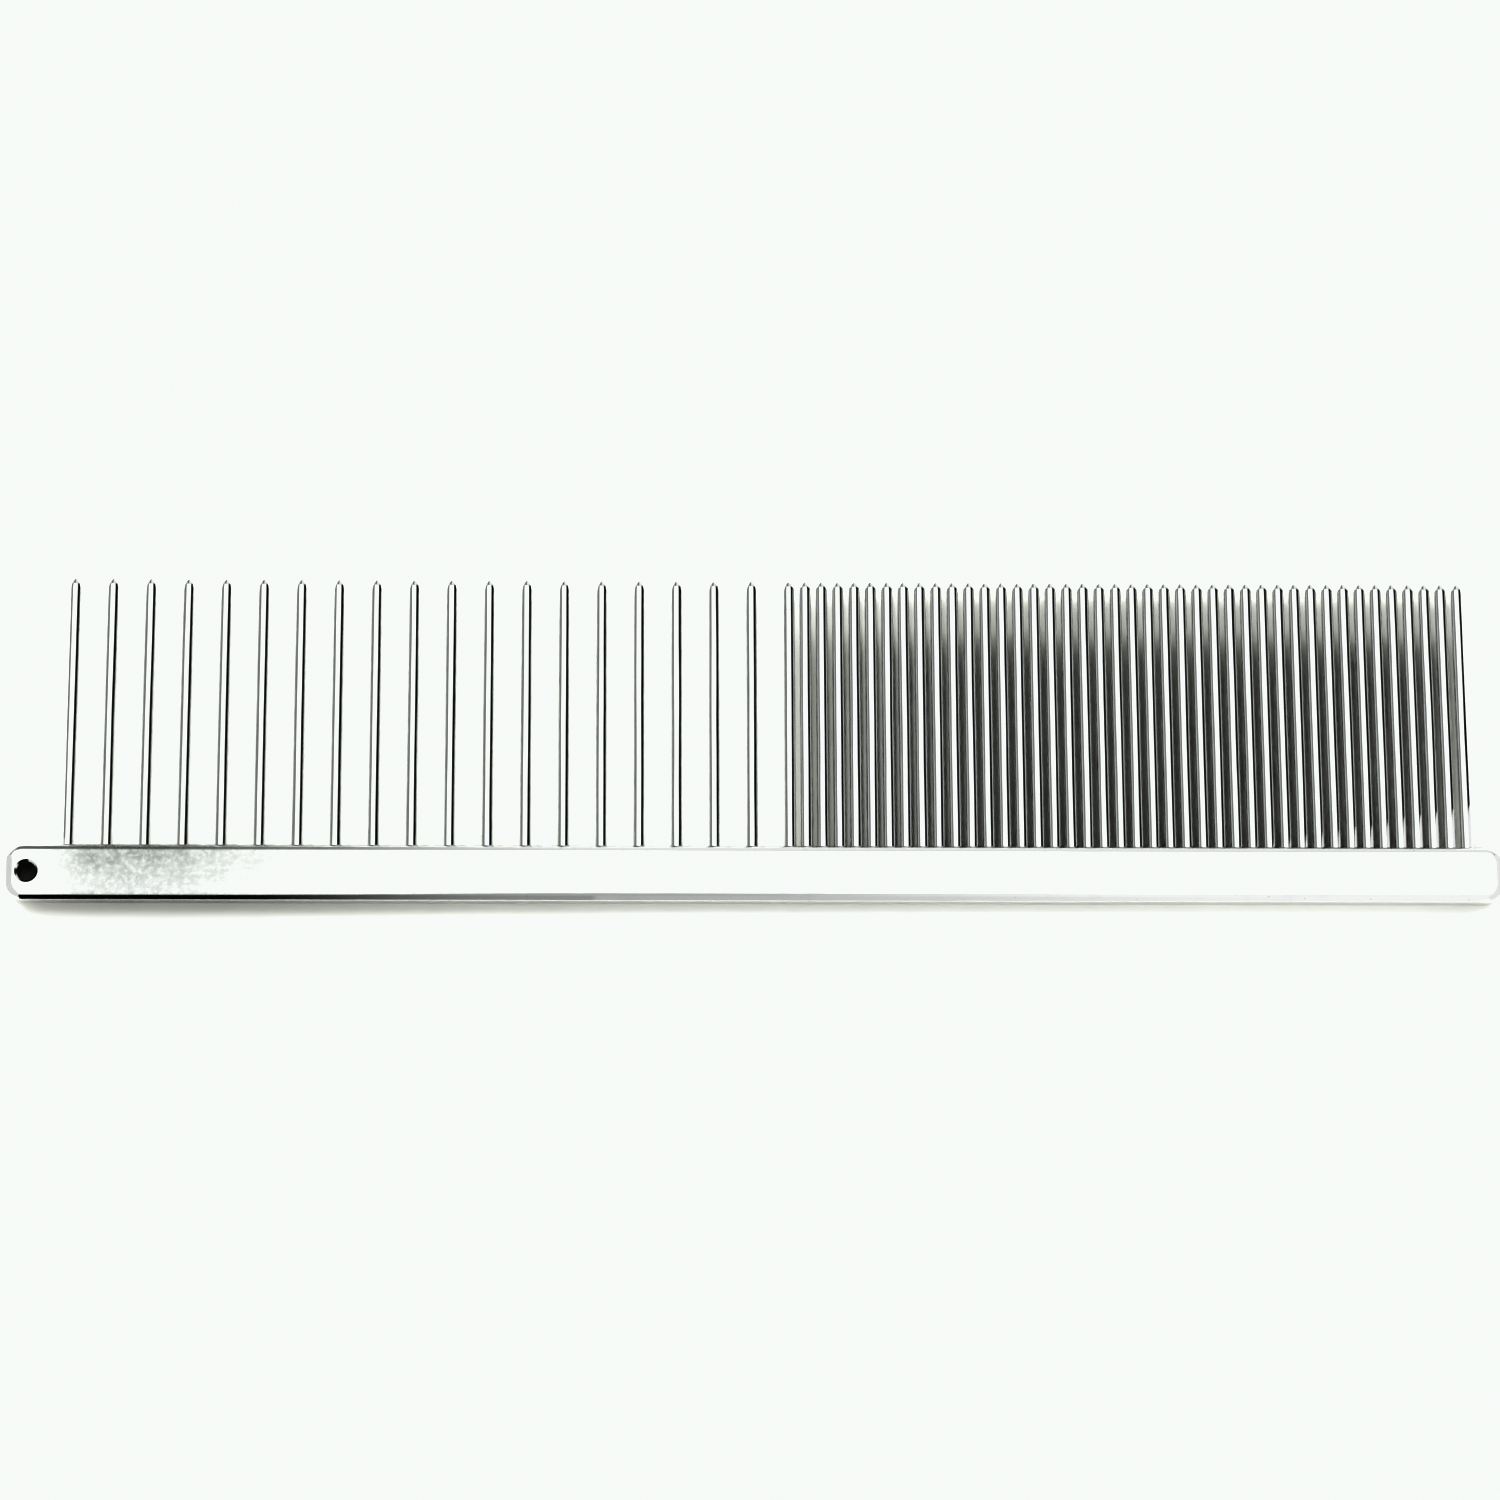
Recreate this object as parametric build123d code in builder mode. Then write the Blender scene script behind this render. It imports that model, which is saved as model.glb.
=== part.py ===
from build123d import *
import math
import os

# Steel grooming comb: a solid bar spine with round wire pins pressed into one edge, a coarse
# row and a fine row side by side.
#
# The comb lies flat. +X runs along the spine away from the hanging hole, +Y runs from the
# spine to the pin tips, and +Z is up through the thickness. The origin is on the surface
# that the comb lies on, under the middle of its outline. Sizes are in millimetres.

# Spine, cut from bright flat bar
spine_length = 190.5
spine_height = 7.2
spine_thickness = 4.0
end_corner_radius = 2.3
edge_radius = 1.1

# Hanging hole through the spine's end
hang_hole_radius = 1.25
hang_hole_inset = 2.8
hang_hole_chamfer = 0.25

# Pins, cut from straight round wire
pin_radius = 0.79
pin_exposed_length = 35.0
tip_length = 1.2
tip_nose_radius = 0.55
root_chamfer = 0.15

# Blind sockets that the pins are pressed into
socket_depth = 5.0
socket_mouth_chamfer = 0.08
drill_point_angle = 118

# Pin rows, both on the middle of the spine's edge
first_pin_inset = 7.7
coarse_pin_count = 19
coarse_pitch = 4.82
fine_pin_count = 42
fine_pitch = 2.118
fine_pins_per_node = 2

# Levels across the comb
back_edge_y = -(spine_height + pin_exposed_length) / 2
pin_edge_y = back_edge_y + spine_height
spine_middle_y = back_edge_y + spine_height / 2
tip_y = pin_edge_y + pin_exposed_length
socket_floor_y = pin_edge_y - socket_depth
pin_axis_z = spine_thickness / 2

# Places along the comb
hang_hole_x = -spine_length / 2 + hang_hole_inset
first_pin_x = -spine_length / 2 + first_pin_inset
coarse_pin_x = [first_pin_x + coarse_pitch * index for index in range(coarse_pin_count)]
first_fine_pin_x = coarse_pin_x[-1] + coarse_pitch
fine_pin_x = [first_fine_pin_x + fine_pitch * index for index in range(fine_pin_count)]


def tip_ogive():
    """End of the ogive, where the rounded nose takes over, as radius and Y."""
    nose_centre_rise = tip_length - tip_nose_radius
    ogive_radius = (nose_centre_rise**2 + pin_radius**2 - tip_nose_radius**2) / (
        2 * (pin_radius - tip_nose_radius)
    )
    slope = math.asin(nose_centre_rise / (ogive_radius - tip_nose_radius))
    nose_centre_y = tip_y - tip_nose_radius
    return tip_nose_radius * math.cos(slope), nose_centre_y + tip_nose_radius * math.sin(slope)


def build_pin():
    """One wire pin on X = 0: a chamfered root in its socket and a blunt ogive tip."""
    ogive_end = tip_ogive()
    with BuildPart() as pin:
        with BuildSketch(Plane.XY.offset(pin_axis_z)):
            with BuildLine():
                Polyline(
                    (0, tip_y),
                    (0, socket_floor_y),
                    (pin_radius - root_chamfer, socket_floor_y),
                    (pin_radius, socket_floor_y + root_chamfer),
                    (pin_radius, tip_y - tip_length),
                )
                ogive = TangentArc((pin_radius, tip_y - tip_length), ogive_end, tangent=(0, 1))
                TangentArc(ogive_end, (0, tip_y), tangent=ogive % 1)
            make_face()
        revolve(axis=Axis((0, 0, pin_axis_z), (0, 1, 0)))
    return pin.part


def build_socket():
    """The space of one drilled socket on X = 0: mouth chamfer, straight wall and drill point."""
    drill_point_depth = pin_radius / math.tan(math.radians(drill_point_angle / 2))
    mouth_radius = pin_radius + socket_mouth_chamfer
    with BuildPart() as socket:
        with BuildSketch(Plane.XY.offset(pin_axis_z)):
            with BuildLine():
                Polyline(
                    (0, pin_edge_y),
                    (mouth_radius, pin_edge_y),
                    (pin_radius, pin_edge_y - socket_mouth_chamfer),
                    (pin_radius, socket_floor_y),
                    (0, socket_floor_y - drill_point_depth),
                    close=True,
                )
            make_face()
        revolve(axis=Axis((0, 0, pin_axis_z), (0, 1, 0)))
    return socket.part


def places_along(pin_x_list):
    """A Locations entry for each pin place along the spine."""
    return [(pin_x, 0, 0) for pin_x in pin_x_list]


os.makedirs("parts", exist_ok=True)

# Spine: a bar with rounded corners and edges, the hanging hole and a socket for every pin
socket = build_socket()
with BuildPart() as spine:
    with BuildSketch(Plane.XY):
        with Locations((0, spine_middle_y)):
            RectangleRounded(spine_length, spine_height, end_corner_radius)
    extrude(amount=spine_thickness)
    fillet(spine.faces().filter_by(Axis.Z).edges(), radius=edge_radius)
    with Locations((hang_hole_x, spine_middle_y, spine_thickness)):
        Hole(hang_hole_radius)
    chamfer(
        spine.edges().filter_by(lambda edge: edge.is_closed and edge.geom_type == GeomType.CIRCLE),
        length=hang_hole_chamfer,
    )
    with Locations(places_along(coarse_pin_x + fine_pin_x)):
        add(socket, mode=Mode.SUBTRACT)
spine.part.label = "spine"
export_step(spine.part, "parts/spine.step")

# Coarse pins: one node each
pin = build_pin()
for number, pin_x in enumerate(coarse_pin_x, start=1):
    with BuildPart() as coarse_pin:
        with Locations(places_along([pin_x])):
            add(pin)
    coarse_pin.part.label = f"coarse_pin_{number:02d}"
    export_step(coarse_pin.part, f"parts/{coarse_pin.part.label}.step")

# Fine pins: neighbours share a node, as separate solids
for first in range(0, fine_pin_count, fine_pins_per_node):
    with BuildPart() as fine_pins:
        with Locations(places_along(fine_pin_x[first : first + fine_pins_per_node])):
            add(pin)
    fine_pins.part.label = f"fine_pins_{first + 1:02d}_{first + fine_pins_per_node:02d}"
    export_step(fine_pins.part, f"parts/{fine_pins.part.label}.step")
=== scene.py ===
import math

import bpy
from mathutils import Euler, Matrix, Vector


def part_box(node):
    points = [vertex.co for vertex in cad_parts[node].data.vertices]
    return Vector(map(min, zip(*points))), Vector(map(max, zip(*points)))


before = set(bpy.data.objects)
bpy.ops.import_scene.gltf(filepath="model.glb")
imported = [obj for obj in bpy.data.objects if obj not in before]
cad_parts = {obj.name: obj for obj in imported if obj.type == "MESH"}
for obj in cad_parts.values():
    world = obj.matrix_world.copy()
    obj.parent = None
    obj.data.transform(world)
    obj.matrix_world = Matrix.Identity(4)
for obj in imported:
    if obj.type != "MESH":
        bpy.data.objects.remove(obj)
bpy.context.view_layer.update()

# Places on the comb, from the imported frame, in metres
spine_low, spine_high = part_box("spine")
pin_low, pin_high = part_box("coarse_pin_01")
pin_edge_y = spine_high.y
pin_axis_z = (pin_low.z + pin_high.z) / 2


# ---------------------------------------------------------------- node helpers

def add_node(tree, kind, inputs=None, **settings):
    """A new node with its settings and its constant or linked inputs."""
    made = tree.nodes.new(kind)
    for name, value in settings.items():
        setattr(made, name, value)
    for socket, value in (inputs or {}).items():
        if isinstance(value, bpy.types.NodeSocket):
            tree.links.new(value, made.inputs[socket])
        else:
            made.inputs[socket].default_value = value
    return made


def combine(tree, operation, first, *others):
    """The output of a Math operation over two or more values or sockets."""
    for other in others:
        made = add_node(tree, "ShaderNodeMath", {0: first, 1: other}, operation=operation)
        first = made.outputs[0]
    return first


def smooth_step(tree, value, low, high, to_low=0.0, to_high=1.0):
    """value eased from to_low at low to to_high at high."""
    made = add_node(
        tree, "ShaderNodeMapRange",
        {"Value": value, "From Min": low, "From Max": high, "To Min": to_low, "To Max": to_high},
        interpolation_type="SMOOTHSTEP",
    )
    return made.outputs["Result"]


def soft_edge(tree, value, edge, softness):
    """0 to 1 as value rises past a soft edge, or 1 to 0 where the softness is negative."""
    return smooth_step(tree, value, edge - softness, edge + softness)


def noise(tree, coordinates, stretch, scale, detail, roughness):
    """A noise value over coordinates stretched along each axis."""
    mapping = add_node(tree, "ShaderNodeMapping", {"Vector": coordinates, "Scale": stretch})
    made = add_node(
        tree, "ShaderNodeTexNoise",
        {"Vector": mapping.outputs["Vector"], "Scale": scale, "Detail": detail, "Roughness": roughness},
    )
    return made.outputs["Fac"]


def mix_colors(tree, factor, first, second):
    """A colour between a first colour or socket and a second colour, at a 0 to 1 factor."""
    if not isinstance(first, bpy.types.NodeSocket):
        first = (*first, 1.0)
    made = add_node(tree, "ShaderNodeMix", {0: factor, 6: first, 7: (*second, 1.0)}, data_type="RGBA")
    return made.outputs[2]


# ---------------------------------------------------------------- chrome

bright_plate = (0.575, 0.580, 0.575)
dull_plate = (0.545, 0.550, 0.545)
smear_shade = (0.50, 0.50, 0.50)
pit_shade = (0.22, 0.22, 0.22)
haze_shade = (0.206, 0.216, 0.204)

# How finely each pattern repeats, per metre. Scratches and waves run long ways along a piece.
unstretched = (1.0, 1.0, 1.0)
cloud_scale = 140.0
grain_scale = 2600.0
haze_blotch_scale = 420.0
haze_speck_scale = 1500.0
spine_scratches = (150.0, 9000.0, 9000.0)
spine_waves = (60.0, 140.0, 140.0)
pin_scratches = (9000.0, 200.0, 9000.0)
pin_waves = (420.0, 60.0, 420.0)

# Noise values between which each pattern sets in
smear_range = (0.52, 0.78)
pit_range = (0.70, 0.76)
dulling_range = (0.30, 0.75)
scratch_range = (0.45, 0.8)
haze_blotch_range = (0.36, 0.62)
haze_speck_range = (0.3, 0.6)

# How strongly each pattern shows in the colour and in the roughness
smear_strength = 0.5
pit_strength = 0.45
haze_blotch_least = 0.78
haze_speck_least = 0.7
clean_roughness = 0.035
dulled_roughness = 0.10
scratch_roughness = 0.03
haze_roughness = 0.22

# Relief of the surface, in metres, and how strongly the scratches and pits show in it
spine_wave_depth = 0.00003
pin_wave_depth = 0.00014
scratch_depth = 0.0001
scratch_relief = 0.03
pit_depth = 0.00002
pit_relief = 0.15


def chrome(name, scratch_stretch, wave_stretch, wave_depth, haze=None):
    """Bright plated steel: polishing scratches, a slightly wavy surface, faint smears and pits.

    haze is a function that returns the strength of a dull patch, full at 1.
    """
    material = bpy.data.materials.new(name)
    material.use_nodes = True
    tree = material.node_tree
    shader = tree.nodes["Principled BSDF"]
    shader.inputs["Metallic"].default_value = 1.0
    place = add_node(tree, "ShaderNodeTexCoord").outputs["Object"]
    scratches = noise(tree, place, scratch_stretch, 1.0, detail=3.0, roughness=0.65)
    clouds = noise(tree, place, unstretched, cloud_scale, detail=4.0, roughness=0.6)
    grain = noise(tree, place, unstretched, grain_scale, detail=2.0, roughness=0.5)
    waves = noise(tree, place, wave_stretch, 1.0, detail=1.0, roughness=0.4)

    smears = smooth_step(tree, clouds, *smear_range, to_high=smear_strength)
    pits = smooth_step(tree, grain, *pit_range, to_high=pit_strength)
    color = mix_colors(tree, scratches, dull_plate, bright_plate)
    color = mix_colors(tree, smears, color, smear_shade)
    color = mix_colors(tree, pits, color, pit_shade)
    roughness = combine(
        tree, "ADD",
        smooth_step(tree, clouds, *dulling_range, clean_roughness, dulled_roughness),
        smooth_step(tree, scratches, *scratch_range, to_high=scratch_roughness),
    )
    if haze:
        strength = haze(tree, place)
        color = mix_colors(tree, strength, color, haze_shade)
        roughness = combine(tree, "ADD", roughness, combine(tree, "MULTIPLY", strength, haze_roughness))
    tree.links.new(color, shader.inputs["Base Color"])
    tree.links.new(roughness, shader.inputs["Roughness"])

    wavy = add_node(tree, "ShaderNodeBump", {"Strength": 1.0, "Distance": wave_depth, "Height": waves})
    scratched = add_node(tree, "ShaderNodeBump", {
        "Strength": scratch_relief, "Distance": scratch_depth, "Height": scratches,
        "Normal": wavy.outputs["Normal"],
    })
    pitted = add_node(tree, "ShaderNodeBump", {
        "Strength": pit_relief, "Distance": pit_depth, "Height": pits,
        "Normal": scratched.outputs["Normal"],
    }, invert=True)
    tree.links.new(pitted.outputs["Normal"], shader.inputs["Normal"])
    return material


# The dull, mottled patch starts beside the hanging hole and fades out along the spine
patch_start = spine_low.x + 0.001
patch_full = spine_low.x + 0.013
patch_thin = spine_low.x + 0.010
patch_end = spine_low.x + 0.056
patch_outer_strength = 0.72
patch_pin_side_strength = 1.18


def end_haze(tree, place):
    """Strength of the dull patch near the hanging hole, heaviest toward the pins."""
    where = add_node(tree, "ShaderNodeSeparateXYZ", {0: place}).outputs
    rise = smooth_step(tree, where["X"], patch_start, patch_full)
    fall = smooth_step(tree, where["X"], patch_end, patch_thin)
    across = smooth_step(
        tree, where["Y"], spine_low.y, spine_high.y, patch_outer_strength, patch_pin_side_strength,
    )
    blotches = noise(tree, place, unstretched, haze_blotch_scale, detail=4.0, roughness=0.7)
    specks = noise(tree, place, unstretched, haze_speck_scale, detail=2.0, roughness=0.6)
    mottle = combine(
        tree, "MULTIPLY",
        smooth_step(tree, blotches, *haze_blotch_range, to_low=haze_blotch_least),
        smooth_step(tree, specks, *haze_speck_range, to_low=haze_speck_least),
    )
    return combine(tree, "MULTIPLY", rise, fall, across, mottle)


spine_chrome = chrome("spine_chrome_finish", spine_scratches, spine_waves, spine_wave_depth, haze=end_haze)
pin_chrome = chrome("pin_chrome_finish", pin_scratches, pin_waves, pin_wave_depth)
for name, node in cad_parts.items():
    node.data.materials.clear()
    node.data.materials.append(spine_chrome if name == "spine" else pin_chrome)


# ---------------------------------------------------------------- stage pieces

white = (1.0, 1.0, 1.0)
paper_color = (0.60, 0.61, 0.575)
backdrop_color = (0.93, 0.96, 0.94)


def plain_material(name, color, emission=0.0):
    """A matt surface, or one that only glows."""
    material = bpy.data.materials.new(name)
    material.use_nodes = True
    shader = material.node_tree.nodes["Principled BSDF"]
    shader.inputs["Base Color"].default_value = (*color, 1.0)
    shader.inputs["Roughness"].default_value = 1.0
    shader.inputs["Specular IOR Level"].default_value = 0.0
    if emission:
        shader.inputs["Base Color"].default_value = (0.0, 0.0, 0.0, 1.0)
        shader.inputs["Emission Color"].default_value = (*color, 1.0)
        shader.inputs["Emission Strength"].default_value = emission
    return material


def stage_mesh(name, points, faces, material):
    """A stage piece made from points and faces."""
    mesh = bpy.data.meshes.new(name)
    mesh.from_pydata(points, [], faces)
    mesh.materials.append(material)
    made = bpy.data.objects.new(name, mesh)
    bpy.context.scene.collection.objects.link(made)
    return made


# The floor's own glow rises between these distances from the comb's middle, where the lamps' light
# fades, and carries its tone out to the backdrop
floor_glow_start = 0.45
floor_glow_full = 1.1


def floor_paper():
    """Matt pale paper that glows by itself far from the comb."""
    material = plain_material("floor_paper", paper_color)
    tree = material.node_tree
    shader = tree.nodes["Principled BSDF"]
    place = add_node(tree, "ShaderNodeTexCoord").outputs["Object"]
    from_middle = add_node(tree, "ShaderNodeVectorMath", {0: place}, operation="LENGTH").outputs["Value"]
    far_glow = smooth_step(tree, from_middle, floor_glow_start, floor_glow_full)
    shader.inputs["Emission Color"].default_value = (*backdrop_color, 1.0)
    tree.links.new(far_glow, shader.inputs["Emission Strength"])
    return material


# A round floor and an upright round backdrop on its rim
stage_radius = 4.0
wall_height = 3.0
rim_count = 64
rim_angles = [2 * math.pi * k / rim_count for k in range(rim_count)]
rim = [(stage_radius * math.cos(angle), stage_radius * math.sin(angle), 0.0) for angle in rim_angles]
stage_mesh("floor", rim, [tuple(range(rim_count))], floor_paper())

wall_top = [(x, y, wall_height) for x, y, _ in rim]
rim_sides = [(k, (k + 1) % rim_count) for k in range(rim_count)]
wall_faces = [(first, second, rim_count + second, rim_count + first) for first, second in rim_sides]
backdrop_glow = plain_material("backdrop_glow", backdrop_color, 1.0)
backdrop = stage_mesh("backdrop", rim + wall_top, wall_faces, backdrop_glow)

# Only the camera sees the backdrop
for way in ("diffuse", "glossy", "transmission", "volume_scatter", "shadow"):
    setattr(backdrop, f"visible_{way}", False)


# ---------------------------------------------------------------- room

# What the chrome mirrors, by the direction from the comb: a white panel overhead that reaches less
# far forward at the right, a grey wall at the left with a lighter far corner, a wall in front of the
# right half that brightens to the right, a wall behind the tips that is darker at the left, and a
# dark room elsewhere. Matt surfaces ignore all of it.
room_color = (0.985, 1.0, 0.99)
room_glow = 0.015
panel_glow = 1.45
left_wall_glow = 0.27
left_corner_glow = 0.55
front_wall_dark = 0.50
front_wall_glow = 0.95
back_wall_dark = 0.20
back_wall_glow = 0.85

# The panel's edges: its sides in radians from straight up, its front and back as the direction's Y
panel_left_edge = -0.80
panel_left_softness = 0.2
panel_right_edge = 0.58
panel_right_softness = 0.15
panel_front_edge_left = -0.72
panel_front_edge_right = -0.25
panel_front_softness = 0.05
panel_back_edge = 0.62
panel_back_softness = 0.12

# Where each change starts and ends, as the direction's X or Y
right_half_x = (-0.10, 0.0)
left_wall_x = (-0.45, -0.85)
left_corner_x = (-0.30, -0.55)
left_corner_y = (0.38, 0.62)
front_wall_brighter_x = (0.02, 0.12)
front_wall_y = (0.0, -0.2)


def build_room():
    """The world: the panel and the walls, seen by the chrome but not by matt surfaces."""
    world = bpy.data.worlds.new("studio_room")
    bpy.context.scene.world = world
    world.use_nodes = True
    tree = world.node_tree
    direction = add_node(tree, "ShaderNodeTexCoord").outputs["Generated"]
    toward = add_node(tree, "ShaderNodeSeparateXYZ", {0: direction}).outputs
    x = toward["X"]
    y = toward["Y"]
    turn = combine(tree, "ARCTAN2", x, toward["Z"])

    front_edge = smooth_step(tree, x, *right_half_x, panel_front_edge_left, panel_front_edge_right)
    past_front_edge = combine(tree, "SUBTRACT", y, front_edge)
    inside_front = soft_edge(tree, past_front_edge, 0.0, panel_front_softness)
    panel = combine(
        tree, "MULTIPLY",
        soft_edge(tree, turn, panel_left_edge, panel_left_softness),
        soft_edge(tree, turn, panel_right_edge, -panel_right_softness),
        inside_front,
        soft_edge(tree, y, panel_back_edge, -panel_back_softness),
        panel_glow,
    )
    left_wall = combine(
        tree, "MULTIPLY", smooth_step(tree, x, *left_wall_x, to_high=left_wall_glow), inside_front,
    )
    left_corner = combine(
        tree, "MULTIPLY",
        smooth_step(tree, x, *left_corner_x, to_high=left_corner_glow),
        smooth_step(tree, y, *left_corner_y),
    )
    front_wall = combine(
        tree, "MULTIPLY",
        smooth_step(tree, x, *front_wall_brighter_x, front_wall_dark, front_wall_glow),
        smooth_step(tree, x, *right_half_x),
        smooth_step(tree, y, *front_wall_y),
    )
    back_wall = combine(
        tree, "MULTIPLY",
        smooth_step(tree, x, *right_half_x, back_wall_dark, back_wall_glow),
        soft_edge(tree, y, panel_back_edge, panel_back_softness),
    )
    glow = combine(tree, "MAXIMUM", panel, left_wall, left_corner, front_wall, back_wall, room_glow)
    matt_bounces = add_node(tree, "ShaderNodeLightPath").outputs["Diffuse Depth"]
    seen_by_chrome = combine(tree, "LESS_THAN", matt_bounces, 0.5)
    background = tree.nodes["Background"]
    background.inputs["Color"].default_value = (*room_color, 1.0)
    tree.links.new(combine(tree, "MULTIPLY", glow, seen_by_chrome), background.inputs["Strength"])


build_room()


# ---------------------------------------------------------------- lamps

def soft_light(name, direction, distance, size, power, target=(0.0, 0.0, 0.0)):
    """An area light that points at a place on the comb and lights only matt surfaces.

    size is its extent across the pins and its extent along them.
    """
    light = bpy.data.lights.new(name, "AREA")
    light.shape = "RECTANGLE"
    light.size, light.size_y = size
    light.energy = power
    made = bpy.data.objects.new(name, light)
    away = Vector(direction).normalized()
    across = Vector((0, 1, 0)).cross(away).normalized()
    turn = Matrix((across, away.cross(across), away)).transposed()
    made.matrix_world = Matrix.Translation(Vector(target) + away * distance) @ turn.to_4x4()
    made.visible_camera = False
    made.visible_glossy = False
    bpy.context.scene.collection.objects.link(made)


# Direction, distance, size and power of each lamp, in metres and watts. The two keys shine between
# the coarse pins but are blocked by the fine ones. The left one is close, so toward the far end it
# comes in lower and less of it gets through. The others fill in the floor's light.
far_lamp = 1.5
coarse_middle = (-0.05, 0.0, 0.0)
soft_light("left_key", (-0.50, 0.70, 0.87), 0.5, (0.12, 0.47), 3.4, target=coarse_middle)
soft_light("right_key", (0.58, 0.70, 0.87), far_lamp, (0.36, 1.4), 15.5)
soft_light("left_low", (-0.85, 0.20, 0.42), far_lamp, (0.8, 0.8), 18.0)
soft_light("left_front", (-0.50, -0.40, 0.80), far_lamp, (0.36, 0.60), 3.3)
soft_light("right_front", (0.50, -0.40, 0.80), far_lamp, (0.36, 0.60), 4.3)
soft_light("near_fill", (0.62, -0.50, 0.62), 0.26, (0.12, 0.12), 0.22)
soft_light("back_strip", (0.0, 0.975, 0.22), far_lamp, (2.0, 0.15), 45.0)
soft_light("top_light", (0.0, 0.10, 0.97), far_lamp, (0.5, 0.5), 0.4)

# A low lamp over the first fine pins lightens the gaps there, and fades toward the far end
first_gaps = (0.004, pin_edge_y + 0.018, 0.0)
soft_light("gap_lamp", (-0.04, 0.0, 1.0), 0.08, (0.012, 0.05), 0.018, target=first_gaps)


# ---------------------------------------------------------------- cards

def hidden_card(name, ends, height, material):
    """An upright card between two floor points, unseen by the camera and casting no shadow."""
    (first_x, first_y), (last_x, last_y) = ends
    points = [
        (first_x, first_y, 0.0), (last_x, last_y, 0.0),
        (last_x, last_y, height), (first_x, first_y, height),
    ]
    made = stage_mesh(name, points, [(0, 1, 2, 3)], material)
    made.visible_camera = False
    made.visible_shadow = False


# A low strip just in front of the spine for its edge to mirror: black at the hole's end, then grey,
# then a white card that gets brighter toward the far end
strip_y = spine_low.y - 0.004
strip_start = spine_low.x + 0.0005
strip_end = spine_high.x - 0.0022
strip_height = 0.0075
grey_start = spine_low.x + 0.0260
grey_glow = 0.38
card_start = spine_low.x + 0.0720
card_edge = 0.003
card_start_glow = 0.52
card_full = 0.075
card_full_glow = 0.95


def strip_material():
    """The strip's glow along the spine."""
    material = plain_material("strip_glow", white, 1.0)
    tree = material.node_tree
    place = add_node(tree, "ShaderNodeTexCoord").outputs["Object"]
    along = add_node(tree, "ShaderNodeSeparateXYZ", {0: place}).outputs["X"]
    grey = smooth_step(tree, along, grey_start, card_start, to_high=grey_glow)
    card = combine(
        tree, "MULTIPLY",
        smooth_step(tree, along, card_start, card_full, card_start_glow, card_full_glow),
        smooth_step(tree, along, card_start, card_start + card_edge),
    )
    strength = tree.nodes["Principled BSDF"].inputs["Emission Strength"]
    tree.links.new(combine(tree, "MAXIMUM", grey, card), strength)
    return material


hidden_card("front_strip", ((strip_start, strip_y), (strip_end, strip_y)), strip_height, strip_material())

# White cards beyond both ends of the spine lighten its rounded corners
end_card_gap = 0.008
end_card_height = 0.03
end_card_front = spine_low.y - 0.024
left_card_back = spine_high.y + 0.004
left_card_glow = 0.75
right_card_back = spine_high.y + 0.008
right_card_glow = 0.85


def end_card(name, card_x, card_back, glow):
    """A white card square to the spine, off one of its ends."""
    ends = ((card_x, end_card_front), (card_x, card_back))
    hidden_card(name, ends, end_card_height, plain_material(f"{name}_glow", white, glow))


end_card("left_card", spine_low.x - end_card_gap, left_card_back, left_card_glow)
end_card("right_card", spine_high.x + end_card_gap, right_card_back, right_card_glow)


# ---------------------------------------------------------------- camera

# The camera looks down at the comb from a little in front of the spine. camera_offset is its place
# from the middle of the pins' roots, in its own axes.
camera_distance = 0.520
view_width = 0.19113
camera_tilt = math.radians(12.4)
camera_lean = math.radians(-2.09)
camera_roll = math.radians(-0.26)
camera_turn = Euler((camera_tilt, camera_lean, camera_roll), "ZXY")
camera_offset = Vector((-0.0011, 0.012385, camera_distance))
camera = bpy.data.objects.new("camera", bpy.data.cameras.new("camera"))
camera.data.sensor_width = 36.0
camera.data.lens = camera.data.sensor_width * camera_distance / view_width
camera.rotation_mode = "ZXY"
camera.rotation_euler = camera_turn
camera.location = Vector((0, pin_edge_y, pin_axis_z)) + camera_turn.to_matrix() @ camera_offset
bpy.context.scene.collection.objects.link(camera)
bpy.context.scene.camera = camera

# Hard, bright print: the lightest tone is a faintly green white just short of paper white
lightest_tone = (0.554, 0.567, 0.557)
view = bpy.context.scene.view_settings
view.view_transform = "Standard"
view.look = "Very High Contrast"
view.use_curve_mapping = True
view.curve_mapping.extend = "HORIZONTAL"
for curve, tone in zip(view.curve_mapping.curves, lightest_tone):
    curve.points[0].location = (0.0, 0.0)
    curve.points[1].location = (tone, tone)
view.curve_mapping.update()
